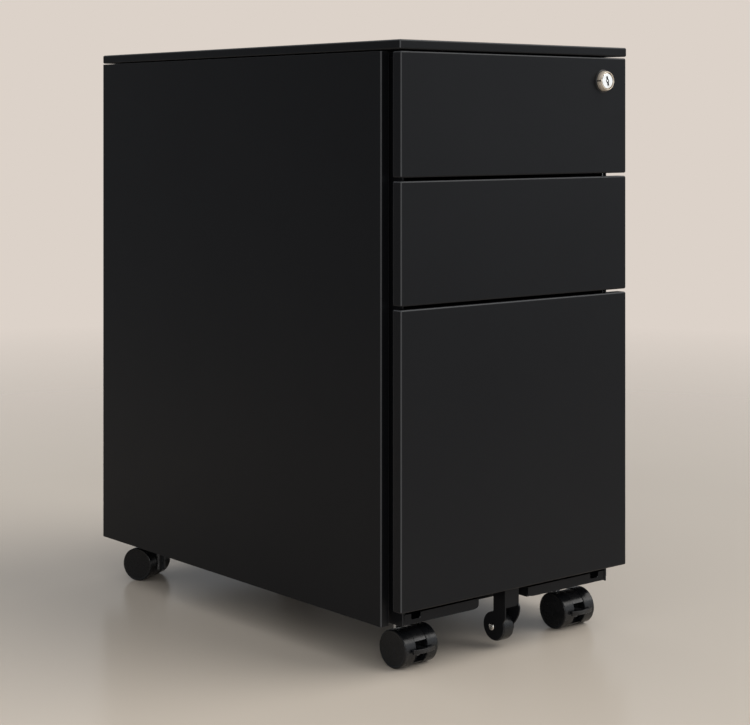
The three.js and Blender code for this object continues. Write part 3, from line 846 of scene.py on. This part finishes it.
def caster_stem():
    """Bright stem with a collar under the base plate and a hexagon nut above it."""
    low, high = span("caster_stem_front_left")
    plate = span("base_panel")[0].z
    collar = plate - COLLAR_HEIGHT
    profile = [
        (0, low.z),
        (STEM_RADIUS - 0.4, low.z),
        (STEM_RADIUS, low.z + 0.5),
        (STEM_RADIUS, collar),
        (COLLAR_RADIUS - 0.6, collar),
        (COLLAR_RADIUS, collar + 0.6),
        (COLLAR_RADIUS, plate - GAP - 0.4),
        (COLLAR_RADIUS - 0.4, plate - GAP),
        (STEM_RADIUS, plate - GAP),
        (STEM_RADIUS, high.z - 0.5),
        (STEM_RADIUS - 0.6, high.z),
        (0, high.z),
    ]
    stem = to_object("stem", turned(profile, (0, 0, 0), (0, 0, 1), 48))
    nut_bottom = plate + SHEET + GAP
    corners = arc((0, 0), STEM_NUT_RADIUS, 0, 300, 5)
    nut = to_object("nut", prism(corners, nut_bottom, nut_bottom + STEM_NUT_HEIGHT, along_z))
    return combine(stem, "UNION", nut)


def caster_axle():
    return cylinder(AXLE_RADIUS, (0, -TRAIL, WHEEL_RADIUS), (1, 0, 0), -AXLE_END, AXLE_END, 32)


def caster(name):
    place = CasterPlace(name)
    braked = name.startswith("front")
    pieces = [
        (caster_housing(braked), f"caster_housing_{name}", "nylon", 0.6, 3),
        (caster_stem(), f"caster_stem_{name}", "zinc", 0.2, 2),
        (to_object("axle", caster_axle()), f"caster_axle_{name}", "zinc", 0.2, 2),
    ]
    if braked:
        pieces.append((brake_pedal(), f"brake_pedal_{name}", "nylon", 0.6, 3))
    for side in SIDES:
        wheel = to_object("wheel", caster_wheel(side))
        pieces.append((wheel, f"caster_wheel_{side}_{name}", "caster_tread", 0.12, 2))
    for obj, node, slot, width, segments in pieces:
        obj.name = f"{node}_moulded" if slot != "zinc" else f"{node}_plated"
        place.move(obj)
        finish_as(soften(obj, width, segments), node, slot)


# ---------------------------------------------------------------- anti-tip wheel


FORK_SHEET = 1.5
FORK_DEPTH = 47.0  # from the fork's web to the back of its foot
WEB_BOTTOM = 41.5
TIP_BORE = 2.5


# A cheek swells forward by swell above its shoulder, then falls to a lobe that starts at first degrees
CHEEKS = {
    "left": {"swell": 0, "shoulder": 31.5, "fall": 1.75, "lean": 0, "radius": 13.4, "first": 164},
    "right": {"swell": 2, "shoulder": 37.8, "fall": 5.3, "lean": 3.4, "radius": 11.4, "first": 172},
}
LOBE_END = 436
LOBE_BEHIND_FRONT = 15.9
NECK_DEPTH = 15.8
SWELL_TOP = 44.0
FILLET = 3.5


def lobe_centre(side, front, bottom, radius):
    """The left lobe rests on the bracket's lowest point; the right one is centred on the axle."""
    if side == "left":
        return (front + LOBE_BEHIND_FRONT, bottom + radius)
    axle = Vector(joint("anti_tip_wheel_roll")["pos_m"]) / MM
    return (axle.y, axle.z)


def fork_cheek(side):
    """One side of the fork. The left lobe covers the wheel; the right one is smaller, under a swell."""
    low, high = span("anti_tip_bracket")
    front = high.y - FORK_DEPTH
    cheek = CHEEKS[side]
    edge = front - cheek["swell"]
    shoulder, fall = cheek["shoulder"], cheek["fall"]
    centre = lobe_centre(side, front, low.z, cheek["radius"])
    lobe = arc(centre, cheek["radius"], cheek["first"], LOBE_END, 48)
    start, end = lobe[0], lobe[-1]
    lobe_top = centre[1] + cheek["radius"]
    neck_back = front + NECK_DEPTH
    middle = (SWELL_TOP + shoulder) / 2
    above_lobe = (start[0] - cheek["lean"], start[1] + FILLET)
    outline = [
        (front, high.z),
        *cubic((front, SWELL_TOP), (edge, middle), (edge, middle), (edge, shoulder))[:-1],
        *cubic((edge, shoulder), (edge, shoulder - fall), above_lobe, start)[:-1],
        *lobe[:-1],
        *cubic(end, (neck_back, lobe_top), (neck_back, lobe_top), (neck_back, lobe_top + FILLET)),
        (neck_back, high.z),
    ]
    x = low.x if side == "left" else high.x - FORK_SHEET
    return prism(outline, x, x + FORK_SHEET, along_x)


def anti_tip_fork():
    low, high = span("anti_tip_bracket")
    front = high.y - FORK_DEPTH
    bracket = to_object("anti_tip_bracket_folded", fork_cheek("left"))
    pieces = [
        to_object("cheek", fork_cheek("right")),
        to_object("web", cuboid((low.x, front, WEB_BOTTOM), (high.x, front + FORK_SHEET, high.z))),
        to_object("foot", cuboid((low.x, front, high.z - FORK_SHEET), high)),
    ]
    combine(bracket, "UNION", *pieces)
    axle = Vector(joint("anti_tip_wheel_roll")["pos_m"]) / MM
    combine(bracket, "DIFFERENCE", to_object("hole", cylinder(TIP_BORE, axle, (1, 0, 0), -12, 12)))
    finish_as(soften(bracket, 0.5, 3), "anti_tip_bracket", "powder_coat")


def anti_tip_axle():
    """Riveted axle: a domed head with a drilled centre at each end."""
    axle = Vector(joint("anti_tip_wheel_roll")["pos_m"]) / MM
    reach = span("anti_tip_axle")[1].x - axle.x
    head = [
        (0, -reach + 0.5),
        (1.0, -reach + 0.4),
        (1.5, -reach),
        (2.4, -reach + 0.1),
        (3.2, -reach + 0.5),
        (3.6, -reach + 1.0),
        (3.6, 1.4 - reach),
        (2.2, 1.4 - reach),
    ]
    tail = [(radius, -distance) for radius, distance in reversed(head)]
    obj = to_object("anti_tip_axle_riveted", turned(head + tail, axle, (1, 0, 0), 48))
    finish_as(soften(obj, 0.1), "anti_tip_axle", "chrome")


def anti_tip_wheel():
    """A plain wheel with rounded shoulders and a dished face around the hub."""
    low, high = span("anti_tip_wheel")
    axle = Vector(joint("anti_tip_wheel_roll")["pos_m"]) / MM
    half, radius, bore = (high.x - low.x) / 2, (high.z - low.z) / 2, TIP_BORE
    crown = arc((radius - 2.2, half - 2.2), 2.2, 90, 0, 6)
    right = [(bore, half), (4.5, half), (5, half - 0.8), (10.4, half - 0.8), (10.9, half)] + crown
    left = [(r, -x) for r, x in reversed(right)]
    obj = to_object("anti_tip_wheel_moulded", turned(right + left, axle, (1, 0, 0), 96))
    finish_as(soften(obj, 0.1), "anti_tip_wheel", "caster_tread")


# ---------------------------------------------------------------- stage


WALL_COLOUR = (0.716, 0.644, 0.584, 1)
FLOOR_REACH = 3.0
FLOOR_FADE = (0.75, 2.7)  # the floor melts into the wall's colour between these distances, in metres


def floor_material():
    """A plain pale floor, slightly glossy, that fades out far from the object."""
    material, tree, shader, add = node_material("pale_floor")
    place = object_coordinates(add)
    cloud = ranged(add, tree, noise(add, tree, place, 1.2, 3), 0, 1)
    shade = mixed(add, tree, cloud, (0.66, 0.592, 0.515), (0.68, 0.612, 0.53))
    tree.links.new(shade, shader.inputs["Base Color"])
    shader.inputs["Roughness"].default_value = 0.22
    shader.inputs["Specular IOR Level"].default_value = 0.45
    distance = add("ShaderNodeVectorMath", operation="LENGTH")
    tree.links.new(place, distance.inputs[0])
    fade = ranged(add, tree, distance.outputs["Value"], 0, 1, *FLOOR_FADE)
    clear = add("ShaderNodeBsdfTransparent")
    both = add("ShaderNodeMixShader")
    tree.links.new(fade, both.inputs["Fac"])
    tree.links.new(shader.outputs["BSDF"], both.inputs[1])
    tree.links.new(clear.outputs["BSDF"], both.inputs[2])
    tree.links.new(both.outputs["Shader"], tree.nodes["Material Output"].inputs["Surface"])
    return material


def floor():
    """A wide round floor."""
    bm = bmesh.new()
    bmesh.ops.create_circle(bm, cap_ends=True, segments=64, radius=FLOOR_REACH / MM)
    obj = to_object("floor", bm)
    obj.data.materials.append(floor_material())


def area_light(name, place, target, size, power, colour):
    light = bpy.data.lights.new(name, "AREA")
    light.shape = "RECTANGLE"
    light.size, light.size_y = size
    light.energy = power
    light.color = colour
    obj = bpy.data.objects.new(name, light)
    obj.location = place
    obj.rotation_euler = (Vector(target) - Vector(place)).to_track_quat("-Z", "Y").to_euler()
    obj.visible_camera = False
    bpy.context.scene.collection.objects.link(obj)


def studio_world():
    """A plain wall colour for the camera, and a dim soft room for everything else."""
    world = bpy.data.worlds.new("studio")
    world.use_nodes = True
    tree = world.node_tree
    room = tree.nodes["Background"]
    room.inputs["Color"].default_value = (0.93, 0.96, 1.0, 1)
    room.inputs["Strength"].default_value = 0.3
    wall = tree.nodes.new("ShaderNodeBackground")
    wall.inputs["Color"].default_value = WALL_COLOUR
    path = tree.nodes.new("ShaderNodeLightPath")
    both = tree.nodes.new("ShaderNodeMixShader")
    tree.links.new(path.outputs["Is Camera Ray"], both.inputs["Fac"])
    tree.links.new(room.outputs["Background"], both.inputs[1])
    tree.links.new(wall.outputs["Background"], both.inputs[2])
    tree.links.new(both.outputs["Shader"], tree.nodes["World Output"].inputs["Surface"])
    bpy.context.scene.world = world


def sun(name, place, power, spread, colour):
    """A soft light without fall-off, shining from a place towards the origin."""
    light = bpy.data.lights.new(name, "SUN")
    light.energy = power
    light.angle = math.radians(spread)
    light.color = colour
    obj = bpy.data.objects.new(name, light)
    obj.rotation_euler = (-Vector(place)).to_track_quat("-Z", "Y").to_euler()
    bpy.context.scene.collection.objects.link(obj)


def lights():
    middle = (0, 0, 0.3)
    area_light("behind_camera", (-2.3, -2.75, 1.0), middle, (1.5, 1.5), 25, (1, 0.98, 0.96))
    area_light("front_right", (1.9, -2.35, 0.85), middle, (2.4, 1.6), 12, (0.92, 0.96, 1))
    sun("key", (0.7, -0.65, 1.0), 1.65, 50, (1, 0.96, 0.91))
    sun("top", (-0.25, 0.0, 1.0), 0.8, 90, (1, 0.97, 0.93))
    studio_world()
    bpy.context.scene.view_settings.view_transform = "Standard"


# Camera: a level view whose lens is shifted down, as an architectural photograph is taken
PHOTO_PLACE = (-1.2233, -1.4738, 0.4990)
PHOTO_YAW = -38.977
PHOTO_LENS = 87.456
PHOTO_SHIFT = (0.05987, -0.31587)


def camera():
    data = bpy.data.cameras.new("camera")
    data.lens = PHOTO_LENS
    obj = bpy.data.objects.new("camera", data)
    obj.location = PHOTO_PLACE
    obj.rotation_euler = (math.pi / 2, 0, math.radians(PHOTO_YAW))
    bpy.context.scene.collection.objects.link(obj)
    bpy.context.scene.camera = obj
    shift_at_photo_place(data, obj)


def shift_at_photo_place(data, obj):
    """Drives the lens shift so that it holds only while the camera stands at the photograph's place."""
    for path, shift in zip(("shift_x", "shift_y"), PHOTO_SHIFT):
        driver = data.driver_add(path).driver
        driver.type = "SCRIPTED"
        variable = driver.variables.new()
        variable.name = "x"
        variable.type = "TRANSFORMS"
        variable.targets[0].id = obj
        variable.targets[0].transform_type = "LOC_X"
        variable.targets[0].transform_space = "WORLD_SPACE"
        driver.expression = f"{shift} if abs(x - {PHOTO_PLACE[0]}) < 0.0001 else 0.0"


# ---------------------------------------------------------------- build

sheet_metal()
lock()
for caster_name in CASTERS:
    caster(caster_name)
anti_tip_fork()
anti_tip_axle()
anti_tip_wheel()
floor()
lights()
camera()
